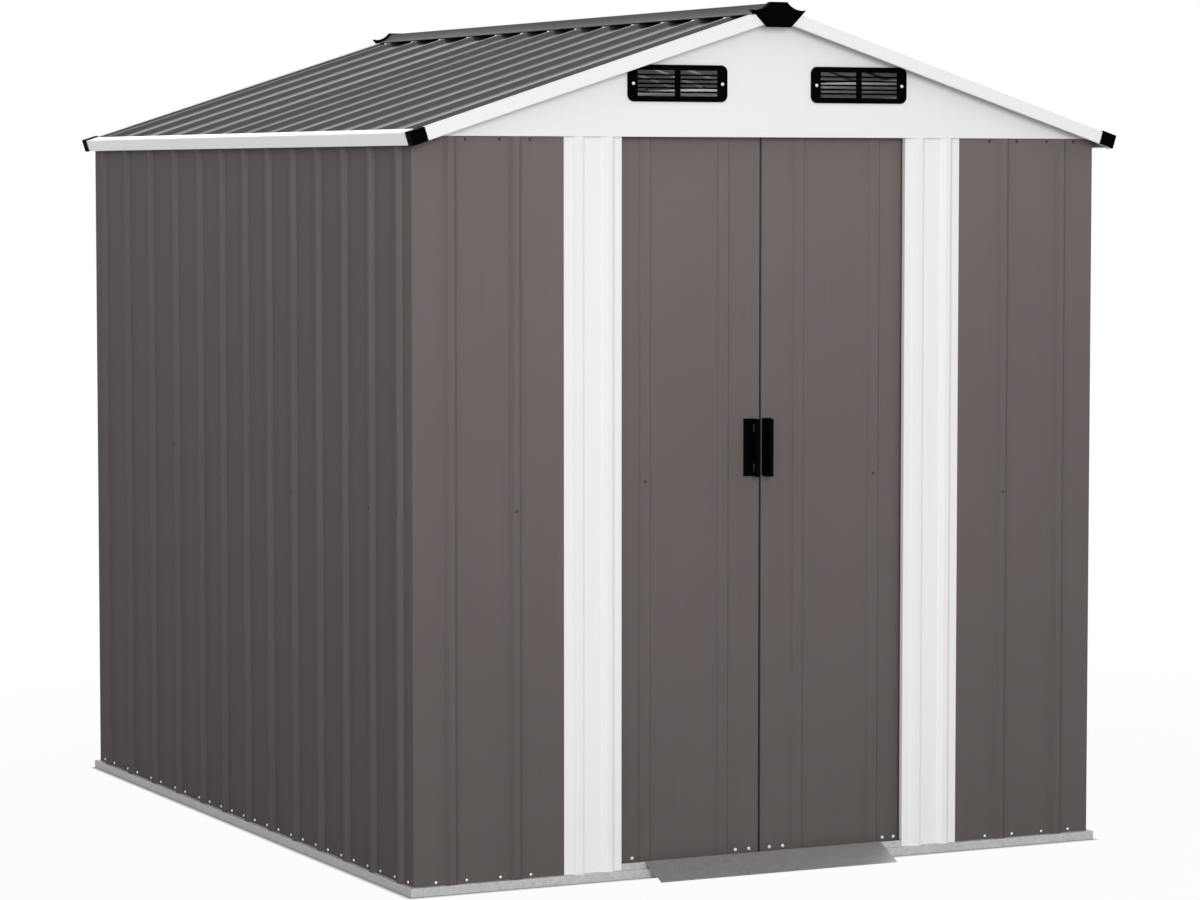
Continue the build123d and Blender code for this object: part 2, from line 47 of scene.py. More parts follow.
# A socket that takes part in sums: each operator adds a Math node to the same tree
class Flow:
    def __init__(self, tree, socket):
        self.tree = tree
        self.socket = socket

    def maths(self, operation, first, second):
        made = self.tree.nodes.new("ShaderNodeMath")
        made.operation = operation
        for place, value in enumerate((first, second)):
            if isinstance(value, Flow):
                self.tree.links.new(value.socket, made.inputs[place])
            else:
                made.inputs[place].default_value = value
        return Flow(self.tree, made.outputs[0])

    def __add__(self, other):
        return self.maths("ADD", self, other)

    def __radd__(self, other):
        return self.maths("ADD", other, self)

    def __sub__(self, other):
        return self.maths("SUBTRACT", self, other)

    def __rsub__(self, other):
        return self.maths("SUBTRACT", other, self)

    def __mul__(self, other):
        return self.maths("MULTIPLY", self, other)

    def __rmul__(self, other):
        return self.maths("MULTIPLY", other, self)

    def __abs__(self):
        return self.maths("ABSOLUTE", self, 0.0)


# A material or world in the making: one method adds any node, its settings first and then its sockets,
# where a key such as i2 counts the socket and any other key names it
class Finish:
    def __init__(self, made):
        self.made = made
        made.use_nodes = True
        self.tree = made.node_tree
        self.tree.nodes.clear()

    def node(self, kind, settings=None, output=0, **sockets):
        made = self.tree.nodes.new("ShaderNode" + kind)
        for key, value in (settings or {}).items():
            setattr(made, key, value)
        for key, value in sockets.items():
            counted = key[0] == "i" and key[1:].isdigit()
            socket = made.inputs[int(key[1:]) if counted else key.replace("_", " ")]
            if isinstance(value, Flow):
                self.tree.links.new(value.socket, socket)
            else:
                socket.default_value = value
        return Flow(self.tree, made.outputs[output]) if made.outputs else None

    def place(self):
        return self.node("TexCoord", output="Object")

    def stretched(self, scale):
        return self.node("Mapping", Vector=self.place(), Scale=scale)

    def noise(self, scale, detail=3, vector=None):
        return self.node("TexNoise", Vector=vector or self.place(), Scale=scale, Detail=detail)

    def between(self, value, low, high, toLow=0.0, toHigh=1.0):
        return self.node("MapRange", i0=value, i1=low, i2=high, i3=toLow, i4=toHigh)

    def blend(self, factor, first, second):
        return self.node("Mix", {"data_type": "RGBA"}, 2, i0=factor, i6=first, i7=second)

    def done(self, colour, roughness, bump, bumpDepth, **fixed):
        normal = self.node("Bump", Height=bump, Distance=bumpDepth, Strength=1.0)
        shader = self.node("BsdfPrincipled", Base_Color=colour, Roughness=roughness, Normal=normal, **fixed)
        self.node("OutputMaterial", Surface=shader)
        return self.made


def shade(colour, factor):
    return tuple(min(1.0, channel * factor) for channel in colour) + (1.0,)


# Baked paint on pressed sheet: drifting tone, draw lines from the rollers, fine orange peel over a slow sway
# and real dust towards the foot; painted shade darkens it towards the foot, and rib flanks can be painted
# paler as painted light
paintLook = {
    "cloudScale": 1.6, "streakScale": 5.0, "cloudShare": 0.6, "toneRange": (0.3, 0.7),
    "flankRange": (0.25, 0.6), "footShadeHeight": 1.6, "footShadeColour": (0.0, 0.0, 0.0, 1.0),
    "dustHeight": 0.3, "dustScale": 14.0, "dustDetail": 5, "dustRange": (0.35, 0.75),
    "dustColour": (0.30, 0.28, 0.25, 1.0), "dustRough": 0.5,
    "peelScale": 900.0, "peelShare": 0.02, "swayScale": 3.0, "swayStretch": (1.0, 1.0, 0.45), "fineDetail": 2,
    "bumpDepth": 0.003, "glossBelow": 0.05, "glossAbove": 0.06,
}


def bakedPaint(name, colour, drift=0.06, dust=0.04, footShade=0.0, gloss=0.42, specular=0.3, coat=0.0,
               paintedFlankLight=None, grain=(40.0, 40.0, 0.4)):
    paint, look = Finish(bpy.data.materials.new(name)), paintLook
    cloud = paint.noise(look["cloudScale"])
    streak = paint.noise(look["streakScale"], vector=paint.stretched(grain))
    mixed = cloud * look["cloudShare"] + streak * (1 - look["cloudShare"])
    tone = paint.between(mixed, *look["toneRange"])
    base = paint.blend(tone, shade(colour, 1 - drift), shade(colour, 1 + drift))
    if paintedFlankLight:  # painted light: rib flanks painted paler to even out their shade
        flank = paint.node("Attribute", {"attribute_name": "press"}, "Fac")
        base = paint.blend(paint.between(abs(flank), *look["flankRange"]), base, paintedFlankLight)
    height = paint.node("SeparateXYZ", output="Z", Vector=paint.place())
    # Painted shade: the colour darkens towards black from the set height down to the foot, standing in for
    # light that falls off lower down
    if footShade:
        footShadeShare = paint.between(height, look["footShadeHeight"], 0.0, 0.0, footShade)
        base = paint.blend(footShadeShare, base, look["footShadeColour"])
    patch = paint.between(paint.noise(look["dustScale"], look["dustDetail"]), *look["dustRange"])
    grime = paint.between(height, look["dustHeight"], 0.0) * patch * dust
    dusty = paint.blend(grime, base, look["dustColour"])
    rough = paint.between(cloud, *look["toneRange"], gloss - look["glossBelow"], gloss + look["glossAbove"])
    peel = paint.noise(look["peelScale"], look["fineDetail"])
    sway = paint.noise(look["swayScale"], look["fineDetail"], paint.stretched(look["swayStretch"]))
    return paint.done(dusty, rough + grime * look["dustRough"], peel * look["peelShare"] + sway,
                      look["bumpDepth"], Specular_IOR_Level=specular, Coat_Weight=coat)


# Hot-dip zinc: fine flat crystals of slightly different tone, height and dullness, under a broad cloud
zincLook = {
    "warpScale": 90.0, "warpReach": 0.006, "cloudScale": 5.0, "cloudDetail": 4,
    "flakeShare": 0.6, "toneRange": (0.2, 0.8), "flakeHeight": 0.3,
    "bumpDepth": 0.0004, "glossBelow": 0.06, "glossAbove": 0.08,
}


def zincCoat(name, colour, gloss, metallic, crystals=170.0, contrast=0.10):
    zinc, look = Finish(bpy.data.materials.new(name)), zincLook
    drift = zinc.node("TexNoise", output="Color", Vector=zinc.place(), Scale=look["warpScale"])
    warp = zinc.node("VectorMath", {"operation": "SCALE"}, i0=drift, Scale=look["warpReach"])
    warped = zinc.node("VectorMath", {"operation": "ADD"}, i0=zinc.place(), i1=warp)
    crystal = zinc.node("TexVoronoi", {"feature": "F1"}, "Color", Vector=warped, Scale=crystals)
    flake = zinc.node("SeparateColor", i0=crystal)
    cloud = zinc.noise(look["cloudScale"], look["cloudDetail"])
    mixed = flake * look["flakeShare"] + cloud * (1 - look["flakeShare"])
    tone = zinc.between(mixed, *look["toneRange"])
    base = zinc.blend(tone, shade(colour, 1 - contrast), shade(colour, 1 + contrast))
    rough = zinc.between(flake, 0.0, 1.0, gloss - look["glossBelow"], gloss + look["glossAbove"])
    return zinc.done(base, rough, flake * look["flakeHeight"] + cloud, look["bumpDepth"], Metallic=metallic)


# Moulded or powder-coated black: fine grain with a slight bloom
blackLook = {
    "cloudScale": 9.0, "cloudShare": 0.5, "toneRange": (0.3, 0.7), "darker": 0.8, "paler": 1.3,
    "grainDetail": 2, "bumpDepth": 0.0003, "glossBelow": 0.06, "glossAbove": 0.08, "specular": 0.01,
}


def blackCoat(name, colour, gloss, grain):
    black, look = Finish(bpy.data.materials.new(name)), blackLook
    cloud = black.noise(look["cloudScale"])
    fine = black.noise(grain, look["grainDetail"])
    tone = black.between(cloud, *look["toneRange"])
    base = black.blend(tone, shade(colour, look["darker"]), shade(colour, look["paler"]))
    mixed = cloud * look["cloudShare"] + fine * (1 - look["cloudShare"])
    rough = black.between(mixed, *look["toneRange"], gloss - look["glossBelow"], gloss + look["glossAbove"])
    return black.done(base, rough, fine, look["bumpDepth"], Specular_IOR_Level=look["specular"])


# Screw heads: bright plating, white paint or brown paint, dulled by handling
screwLook = {
    "wearScale": 220.0, "toneRange": (0.35, 0.65), "darker": 0.8, "paler": 1.1, "roughRange": (0.3, 0.7),
    "bumpDepth": 0.0002, "glossBelow": 0.08, "glossAbove": 0.1,
}


def screwCoat(name, colour, gloss, metallic):
    head, look = Finish(bpy.data.materials.new(name)), screwLook
    wear = head.noise(look["wearScale"])
    tone = head.between(wear, *look["toneRange"])
    base = head.blend(tone, shade(colour, look["darker"]), shade(colour, look["paler"]))
    rough = head.between(wear, *look["roughRange"], gloss - look["glossBelow"], gloss + look["glossAbove"])
    return head.done(base, rough, wear, look["bumpDepth"], Metallic=metallic)


# The brown paint carries painted shade that darkens it towards the foot
brownPaint = bakedPaint("brownPaint", (0.158, 0.135, 0.133), dust=0.02, footShade=0.32, specular=0.01)
roofPaint = bakedPaint("roofPaint", (0.042, 0.036, 0.039), dust=0.0, specular=0.6, grain=(0.4, 40.0, 0.4))
ridgePaint = bakedPaint("ridgePaint", (0.080, 0.075, 0.077), dust=0.0, gloss=0.5, specular=0.05,
                        grain=(40.0, 0.4, 40.0))
whitePaint = bakedPaint("whitePaint", (0.80, 0.798, 0.794), drift=0.012)
# The strips' white, with rib flanks painted paler: painted light that evens out the shade on their flanks
stripPaint = bakedPaint("stripPaint", (0.79, 0.788, 0.784), drift=0.012, paintedFlankLight=(0.84, 0.838, 0.834, 1.0))
# The eave trim's white: a paler, glossier copy of the white paint, as painted light where the eave's face
# gets little light
eaveWhiteWithPaintedLight = bakedPaint("eaveWhiteWithPaintedLight", (0.95, 0.948, 0.943), drift=0.012, dust=0.0, specular=0.8, coat=0.8)
zincSheet = zincCoat("zincSheet", (0.45, 0.453, 0.456), gloss=0.5, metallic=0.15)
rampZinc = zincCoat("rampZinc", (0.60, 0.605, 0.61), gloss=0.38, metallic=0.85, crystals=320.0, contrast=0.04)
blackPlastic = blackCoat("blackPlastic", (0.0010, 0.0010, 0.0010), gloss=0.60, grain=700.0)
handleCoat = blackCoat("handleCoat", (0.0012, 0.0012, 0.0012), gloss=0.52, grain=420.0)
screwSteel = screwCoat("screwSteel", (0.72, 0.72, 0.73), gloss=0.34, metallic=0.8)
screwWhite = screwCoat("screwWhite", (0.80, 0.80, 0.79), gloss=0.40, metallic=0.0)
screwBrown = screwCoat("screwBrown", (0.030, 0.026, 0.025), gloss=0.42, metallic=0.2)

bySlot = {
    "brown_sheet": brownPaint,
    "white_sheet": whitePaint,
    "roof_sheet": roofPaint,
    "galvanised": zincSheet,
    "black_plastic": blackPlastic,
    "handle_black": handleCoat,
}
slotOf = {part["node"]: part["material_slot"] for part in frame["record"]["subparts"]}
for name, node in nodes.items():
    node.data.materials.clear()
    node.data.materials.append(ridgePaint if name == "ridge_cap" else bySlot[slotOf[name]])
print("finishes laid on")

# Sizes that several pieces share, in millimetres
shed = {
    "halfWidth": 850.0, "depth": 2062.0, "wallTop": 1622.0, "pitch": np.radians(17.7),
    "sheet": 1.0, "bend": 2.6, "ribHeight": 9.5, "ribBase": 33.0, "ribCrest": 12.0,
    "railHeight": 20.0, "upstand": 34.0, "lap": 1368.0, "heel": 2.0,
    "eaveOver": 26.0, "frontOver": 54.0, "rearOver": 18.0,
}
ribPlaces = {
    "front": np.array([-762.0, -610.0]),
    "strip": np.array([-460.0, -388.0]),
    "sideFront": 66.0 + 152.0 * np.arange(9),
    "sideRear": 1454.0 + 177.0 * np.arange(4),
    "back": -695.0 + 152.0 * np.arange(5),
}
metre = 1000.0
crestLift = (shed["ribHeight"] + 2 * shed["sheet"]) / np.cos(shed["pitch"])
ridgeZ = shed["wallTop"] + shed["heel"] + shed["halfWidth"] * np.tan(shed["pitch"]) + crestLift
slopeLength = (shed["halfWidth"] + shed["eaveOver"]) / np.cos(shed["pitch"])
slopeDown = np.array([-np.cos(shed["pitch"]), 0.0, -np.sin(shed["pitch"])])
slopeUp = np.array([-np.sin(shed["pitch"]), 0.0, np.cos(shed["pitch"])])
ridgePoint = np.array([0.0, 0.0, ridgeZ])
upright = ((0, 0, 0), (1, 0, 0), (0, 1, 0), (0, 0, 1))  # sections in plan, carried upwards
downSlope = (ridgePoint, (0, -1, 0), slopeUp, slopeDown)  # sections across the left slope, carried down it
mirrorX = (0, 0.0)  # an axis, and the sum of a place and its image on it
mirrorWall = (1, shed["depth"])
mirrorRoof = (1, shed["depth"] + shed["rearOver"] - shed["frontOver"])
sides = (("left", ()), ("right", (mirrorX,)))


# A mesh from arrays in millimetres, put on a body in place of CAD nodes; look is its finish and its slot, and
# the slot is not used
def addPiece(name, points, faces, look, body, replaced=(), press=None, sharp=40.0):
    finish, slot = look
    mesh = bpy.data.meshes.new(name)
    mesh.from_pydata((points / metre).tolist(), [], faces)
    mesh.polygons.foreach_set("use_smooth", np.ones(len(mesh.polygons), bool))
    mesh.set_sharp_from_angle(angle=np.radians(sharp))
    if press is not None:
        mesh.attributes.new("press", "FLOAT", "POINT").data.foreach_set("value", press.astype(np.float32))
    mesh.materials.append(finish)
    piece = bpy.data.objects.new(name, mesh)
    scene.collection.objects.link(piece)
    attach(piece, body)
    if replaced:
        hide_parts(*replaced)


# Section of a pressed sheet: a level line that steps out over four corners at each rib
def ribbedRun(start, end, centres, height=shed["ribHeight"], base=shed["ribBase"], crest=shed["ribCrest"]):
    corners = np.array([-base / 2, -crest / 2, crest / 2, base / 2])
    along = (np.asarray(centres)[:, None] + corners).ravel()
    steps = np.tile([0.0, height, height, 0.0], len(centres))
    return np.c_[np.r_[start, along, end], np.r_[0.0, steps, 0.0]]


# Each corner of a section becomes a circular arc, the weighted mean of its two ends and the corner,
# and a point just outside either end keeps the flats flat; both stay within a share of the shorter flat
def roundedSection(points, radius, steps=4, guard=0.8, reachShare=0.42, guardShare=0.07):
    points = np.asarray(points, float)
    run = np.diff(points, axis=0)
    length = np.linalg.norm(run, axis=1)
    run /= length[:, None]
    before, after, shorter = run[:-1, None], run[1:, None], np.minimum(length[:-1], length[1:])
    turn = np.arctan2(run[:-1, 0] * run[1:, 1] - run[:-1, 1] * run[1:, 0], (run[:-1] * run[1:]).sum(1))
    reach = np.minimum(radius * np.tan(np.abs(turn) / 2), reachShare * shorter)[:, None, None]
    spare = np.minimum(guard, guardShare * shorter)[:, None, None]
    share = np.linspace(0, 1, steps + 1)[None, :, None]
    corner = points[1:-1, None]
    start, end = corner - before * reach, corner + after * reach
    near, far = (1 - share) ** 2, share ** 2
    middle = 2 * share * (1 - share) * np.cos(turn / 2)[:, None, None]
    arc = (near * start + middle * corner + far * end) / (near + middle + far)
    arc = np.concatenate([start - before * spare, arc, end + after * spare], axis=1)
    return np.vstack([points[:1], arc.reshape(-1, 2), points[-1:]])


# Both faces of a sheet as one loop: the section, then the same line set off to its left by the thickness.
# The press value is the sine of the section's heading, so it is 0 on the flats and largest on steep flanks,
# where it masks painted light on the rib flanks
def sheetLoop(points, thickness):
    run = np.diff(points, axis=0)
    heading = np.unwrap(np.arctan2(run[:, 1], run[:, 0]))
    before, after = np.r_[heading[:1], heading], np.r_[heading, heading[-1:]]
    middle, turn = (before + after) / 2, (after - before) / 2
    inner = points + (thickness / np.cos(turn))[:, None] * np.c_[-np.sin(middle), np.cos(middle)]
    return np.vstack([points, inner[::-1]]), np.r_[np.sin(middle), np.sin(middle)[::-1]]


# How far along the path each point of the section is cut: by a rule, at a distance,
# or where its line meets a plane given as a point and a normal
def cutAt(base, along, cut):
    if callable(cut):
        return cut(base)
    if np.isscalar(cut):
        return np.full(len(base), float(cut))
    point, normal = np.asarray(cut[0], float), np.asarray(cut[1], float)
    return (point - base) @ normal / (along @ normal)


# A folded sheet: a rounded section of two faces carried straight along a path between two cuts,
# with quads round the loop and quads between the faces at each end
def foldedPiece(name, section, axes, span, look, node, body="shed", mirrors=(), bend=shed["bend"]):
    loop, press = sheetLoop(roundedSection(section, bend), shed["sheet"])
    origin, across, up, along = (np.asarray(axis, float) for axis in axes)
    base = origin + loop[:, :1] * across + loop[:, 1:] * up
    points = np.vstack([base + cutAt(base, along, cut)[:, None] * along for cut in span])
    for axis, total in mirrors:
        points[:, axis] = total - points[:, axis]
    ring = np.arange(len(loop))
    after = np.roll(ring, -1)
    near = np.arange(len(loop) // 2 - 1)
    far = len(loop) - 1 - near
    lid = np.c_[near, far, far - 1, near + 1]
    around = np.c_[ring, after, after + len(loop), ring + len(loop)]
    faces = np.vstack([around, lid, lid[:, ::-1] + len(loop)])
    area = np.sum(loop[:, 0] * np.roll(loop[:, 1], -1) - np.roll(loop[:, 0], -1) * loop[:, 1])
    if (area * np.linalg.det([across, up, along]) < 0) != (len(mirrors) % 2 == 1):
        faces = faces[:, ::-1]  # so that they point outwards
    addPiece(name, points, faces.tolist(), look, body, [node], np.tile(press, 2))


# Wall sheets: sections in plan carried from the base rail's ledge to the wall tops,
# with the strips' folded edges cut off above the rail's upstand
wall = {
    "halfDoorway": 354.0, "stripOuter": 494.0, "stripReturn": 13.0, "cornerReturn": 24.0, "notchFrom": 1.2,
    "brown": (brownPaint, "brown_sheet"), "white": (stripPaint, "white_sheet"),
}


def wallSheets():
    halfWidth, depth, lap, back = shed["halfWidth"], shed["depth"], shed["lap"], wall["cornerReturn"]
    foot, top, brown = shed["railHeight"], shed["wallTop"], wall["brown"]
    front = ribbedRun(-halfWidth, -wall["stripOuter"], ribPlaces["front"]) * (1, -1)
    strip = ribbedRun(-wall["stripOuter"], -wall["halfDoorway"], ribPlaces["strip"]) * (1, -1)
    sideFront = ribbedRun(back, lap, ribPlaces["sideFront"])[::-1, ::-1] * (-1, 1) - (halfWidth, 0)
    sideRear = ribbedRun(lap, depth - back, ribPlaces["sideRear"])[::-1, ::-1] * (-1, 1) - (halfWidth, 0)
    rear = (ribbedRun(-halfWidth, 0, ribPlaces["back"]) + (0, depth))[::-1]
    front = np.vstack([[-halfWidth, back], front])
    strip = np.vstack([strip, [-wall["halfDoorway"], wall["stripReturn"]]])
    rear = np.vstack([rear, [-halfWidth, depth - back]])
    whole = (foot, top)
    notched = (lambda base: np.where(base[:, 1] > wall["notchFrom"], shed["upstand"], foot), top)
    for side, mirrors in sides:
        for part, section, span, look, node in (
            ("FrontPanel", front, whole, brown, "front_panel_" + side),
            ("Strip", strip, notched, wall["white"], "door_strip_" + side),
            ("WallFront", sideFront, whole, brown, side + "_wall_front"),
            ("WallRear", sideRear, whole, brown, side + "_wall_rear"),
            ("BackWall", rear, whole, brown, "back_wall_" + side),
        ):
            foldedPiece(side + part, section, upright, span, look, node, mirrors=mirrors)


# Door sheets: sections in plan with shallow wide ribs and edges folded back, carried upwards
door = {
    "outer": 379.0, "inner": 2.5, "face": 25.0, "edge": 14.0, "foot": 30.0, "head": 1632.0, "bend": 2.0,
    "ribs": np.array([-286.95, -94.55]), "ribHeight": 3.5, "ribBase": 31.0, "ribCrest": 23.0,
    "look": (brownPaint, "brown_sheet"),
}


def doorSheets():
    outer, inner, tail = -door["outer"], -door["inner"], door["face"] + door["edge"]
    run = ribbedRun(outer, inner, door["ribs"], door["ribHeight"], door["ribBase"], door["ribCrest"])
    section = np.vstack([[outer, tail], run * (1, -1) + (0, door["face"]), [inner, tail]])
    span = (door["foot"], door["head"])
    for side, mirrors in sides:
        body = node = side + "_door"
        look, bend = door["look"], door["bend"]
        foldedPiece(side + "DoorSheet", section, upright, span, look, node, body, mirrors, bend)


# Roof sheets and edge trims: sections across the slope carried down it, eaves carried along the wall,
# and the trims mitred at the roof's corners
roof = {
    "edgeGap": 2.0, "ridgeGap": 12.0, "trimFace": 29.0, "trimFlange": 28.0, "trimLip": 6.0,
    "sheet": (roofPaint, "roof_sheet"),
    "eave": (eaveWhiteWithPaintedLight, "white_sheet"),
    "rake": (whitePaint, "white_sheet"),
}


def roofSheets():
    rise, seat = shed["ribHeight"], roof["trimFlange"] - roof["edgeGap"]
    flank = (shed["ribBase"] - shed["ribCrest"]) / 2
    first = roof["edgeGap"] - shed["frontOver"]
    last = shed["depth"] + shed["rearOver"] - roof["edgeGap"]
    frontRun = ribbedRun(first + seat + flank, shed["lap"], ribPlaces["sideFront"])
    rearRun = ribbedRun(shed["lap"], last - seat - flank, ribPlaces["sideRear"])
    front = np.vstack([[first, rise], [first + seat, rise], frontRun])
    rear = np.vstack([rearRun, [last - seat, rise], [last, rise]])
    span = (roof["ridgeGap"], slopeLength - roof["edgeGap"])
    for side, mirrors in sides:
        for part, run in (("Front", front), ("Rear", rear)):
            section = run * (-1, 1) - (0, shed["sheet"] + rise)
            node = "roof_" + side + "_" + part.lower()
            foldedPiece(side + "Roof" + part, section, downSlope, span, roof["sheet"], node, mirrors=mirrors)


def roofTrims():
    face, flange, lip, edge = roof["trimFace"], roof["trimFlange"], roof["trimLip"], shed["frontOver"]
    down = np.array([slopeLength - flange, slopeLength, slopeLength, slopeLength - lip])
    drop = np.array([0, 0, -face, -face])
    eave = (ridgePoint + down[:, None] * slopeDown + drop[:, None] * slopeUp)[:, [0, 2]]
    rake = np.array([[edge - lip, -face], [edge, -face], [edge, 0], [edge - flange, 0]])
    corner = ridgePoint + slopeLength * slopeDown + (0, -edge, 0)
    farCorner = corner + (0, shed["depth"] + shed["rearOver"] + edge, 0)
    mitre, farMitre = (corner, slopeDown + (0, 1, 0)), (farCorner, slopeDown - (0, 1, 0))
    peak = (ridgePoint, (1, 0, 0))
    alongEave = ((0, 0, 0), (1, 0, 0), (0, 0, 1), (0, 1, 0))
    for side, mirrors in sides:
        node = "eave_trim_" + side
        foldedPiece(side + "Eave", eave, alongEave, (mitre, farMitre), roof["eave"], node, mirrors=mirrors)
        for end, more in (("front", ()), ("rear", (mirrorRoof,))):
            name, node = side + end.title() + "Rake", end + "_rake_" + side
            foldedPiece(name, rake, downSlope, (peak, mitre), roof["rake"], node, mirrors=mirrors + more)


# Base rails: foot flange, outer face, ledge and upstand, carried along each wall and mitred at the corners;
# and the ramp, a plate hooked over the front one
baseRail = {
    "flange": 48.0, "overhang": 11.0, "bend": 1.8, "look": (zincSheet, "galvanised"),
    "rampReach": 79.0, "rampHalf": 297.0, "rampHook": 7.0, "rampBehind": 3.0,
    "rampLook": (rampZinc, "galvanised"),
}


def baseRails():
    out, high, lip, thick = baseRail["overhang"], shed["railHeight"], shed["upstand"], shed["sheet"]
    halfWidth, depth, look, bend = shed["halfWidth"], shed["depth"], baseRail["look"], baseRail["bend"]
    rail = [[-baseRail["flange"], 0], [out, 0], [out, high], [-thick, high], [-thick, lip]]
    nearLeft, nearRight = ((-halfWidth, 0, 0), (1, -1, 0)), ((halfWidth, 0, 0), (-1, -1, 0))
    farLeft = ((-halfWidth, depth, 0), (-1, -1, 0))
    alongFront = ((0, 0, 0), (0, -1, 0), (0, 0, 1), (-1, 0, 0))
    alongSide = ((-halfWidth, 0, 0), (-1, 0, 0), (0, 0, 1), (0, 1, 0))
    for side, axes, span, mirrors in (
        ("front", alongFront, (nearRight, nearLeft), ()),
        ("back", alongFront, (nearRight, nearLeft), (mirrorWall,)),
        ("left", alongSide, (nearLeft, farLeft), ()),
        ("right", alongSide, (nearLeft, farLeft), (mirrorX,)),
    ):
        foldedPiece(side + "Rail", rail, axes, span, look, "base_rail_" + side, mirrors=mirrors, bend=bend)
    behind, over = baseRail["rampBehind"], lip + thick
    ramp = [[behind, lip - baseRail["rampHook"]], [behind, over], [0, over], [-baseRail["rampReach"], thick]]
    alongDoorway = ((0, 0, 0), (0, 1, 0), (0, 0, 1), (1, 0, 0))
    span = (-baseRail["rampHalf"], baseRail["rampHalf"])
    foldedPiece("doorRamp", ramp, alongDoorway, span, baseRail["rampLook"], "door_ramp")


wallSheets()
doorSheets()
roofSheets()
roofTrims()
baseRails()
print("sheets folded")

# Screws: a low dome turned about its own axis, repeated at every spot and closed underneath
screw = {
    "radius": 3.8, "sides": 8, "radii": (1.0, 1.0, 0.86, 0.55, 0.2), "heights": (-0.3, 0.5, 1.3, 2.0, 2.3),
    "steep": 0.9, "sharp": 60.0,
}


# Places from three values or rows of values
def spots(x, y, z):
    rows = np.broadcast_arrays(*(np.asarray(value, float) for value in (x, y, z)))
    return np.stack(rows, -1).reshape(-1, 3)


def addScrews(name, rows, look, body="shed", size=1.0, mirrors=((1, 1, 1),)):
    pairs = [(place, np.array(facing, float), np.array(sign)) for place, facing in rows for sign in mirrors]
    centre = np.vstack([place * sign for place, facing, sign in pairs])
    outward = np.vstack([np.broadcast_to(facing * sign, place.shape) for place, facing, sign in pairs])
    helper = np.where(np.abs(outward[:, 2:]) > screw["steep"], (1.0, 0.0, 0.0), (0.0, 0.0, 1.0))
    sideways = np.cross(helper, outward)
    sideways /= np.linalg.norm(sideways, axis=1)[:, None]
    upwards = np.cross(outward, sideways)
    angle = np.arange(screw["sides"])[:, None] * 2 * np.pi / screw["sides"]
    radius = np.array(screw["radii"])[:, None, None] * screw["radius"] * size
    height = np.array(screw["heights"])[:, None, None] * size
    circle = np.cos(angle) * sideways[:, None] + np.sin(angle) * upwards[:, None]
    points = centre[:, None, None] + height * outward[:, None, None] + radius * circle[:, None]
    index = np.arange(points[..., 0].size).reshape(points.shape[:3])
    low, high = index[:, :-1], index[:, 1:]
    quads = np.stack([low, np.roll(low, -1, 2), np.roll(high, -1, 2), high], -1).reshape(-1, 4)
    lids = np.vstack([index[:, -1], index[:, 0, ::-1]])
    addPiece(name, points.reshape(-1, 3), quads.tolist() + lids.tolist(), look, body, sharp=screw["sharp"])


# Where the screws sit, which ribs carry one at mid height, and how large each kind is beside the common one
fixing = {
    "steel": (screwSteel, "galvanised"), "white": (screwWhite, "white_sheet"),
    "brown": (screwBrown, "brown_sheet"), "black": (handleCoat, "handle_black"),
    "besideRib": np.array([-36.0, 36.0]), "foot": 27.5, "head": 1615.0, "mid": 819.0, "rearMid": 883.0,
    "frontRibs": [1], "sideRibs": [0, 1, 4, 7], "sideRearRibs": [0, 3], "backRibs": [0, 2, 4],
    "wallSize": 0.9, "belowRidge": 74.0,
    "ventRow": -226.1 + np.array([-108.5, 108.5]), "ventFace": -15.5, "ventZ": 1737.0, "ventSize": 1.15,
    "doorRow": np.array([-26.0, -60.0, -317.0, -346.0]), "doorFoot": 39.5, "doorSize": 1.1,
    "doorRibZ": 870.0,
    "leftHandle": -36.0, "rightHandle": -20.5, "handlePlate": 2.0, "handleZ": np.array([990.0, 885.0]),
    "handleSize": 0.8,
}


